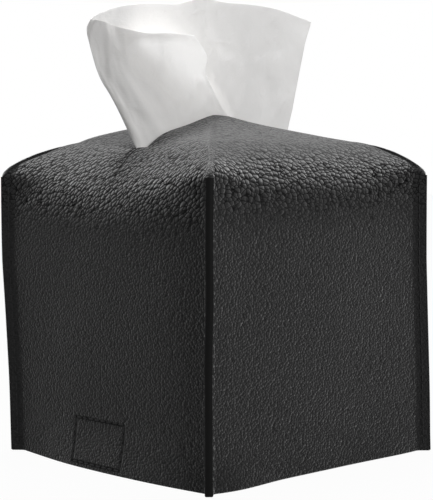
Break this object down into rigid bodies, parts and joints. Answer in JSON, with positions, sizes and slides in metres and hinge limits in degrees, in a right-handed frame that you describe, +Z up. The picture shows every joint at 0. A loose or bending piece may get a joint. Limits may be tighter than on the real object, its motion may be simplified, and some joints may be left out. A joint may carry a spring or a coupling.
{
  "type": "tissue box cover",
  "caption": "Square soft leather cover for a cube tissue carton: flanged stitched corners, rounded shoulders, tented slit top, hook-and-loop belt below, carton and raised tissue inside.",
  "frame": {"origin": "middle of the square footprint at the hem's level", "axes": "+Z up; the slit and the belt run along X; -X is the wall that carries the belt's sewn end, the picture's left face; -Y is the picture's right face"},
  "size_m": [0.135, 0.135, 0.1982],
  "materials": {
    "leather": "satin",
    "lining": "matte",
    "edge_paint": "satin",
    "thread": "satin",
    "hook": "matte",
    "loop": "matte",
    "carton": "matte",
    "film": "gloss",
    "tissue": "matte"
  },
  "bodies": {
    "cover": {"leather_cover": "leather", "cover_lining": "lining", "seam_edge_paint": "edge_paint", "seam_thread_front_left": "thread", "seam_thread_front_right": "thread", "seam_thread_back_right": "thread", "seam_thread_back_left": "thread", "belt_anchor_tab": "leather", "belt_anchor_thread": "thread", "keeper_strap": "leather", "keeper_anchor_thread": "thread", "loop_patch": "loop", "loop_patch_thread": "thread", "tissue_carton": "carton", "carton_film": "film", "tissue_stack": "tissue"},
    "belt": {"belt_strap": "leather", "hook_patch": "hook", "hook_patch_thread": "thread"},
    "tissue": {"raised_tissue": "tissue"}
  },
  "joints": [
    {"name": "belt_fold", "type": "hinge", "parent": "cover", "child": "belt", "pos_m": [-0.0608, 0.0035, 0.001], "axis": [0, 1, 0], "range_deg": [0, 105]},
    {"name": "tissue_pull", "type": "slide", "parent": "cover", "child": "tissue", "axis": [0, 0, 1], "range_m": [0, 0.105]}
  ]
}
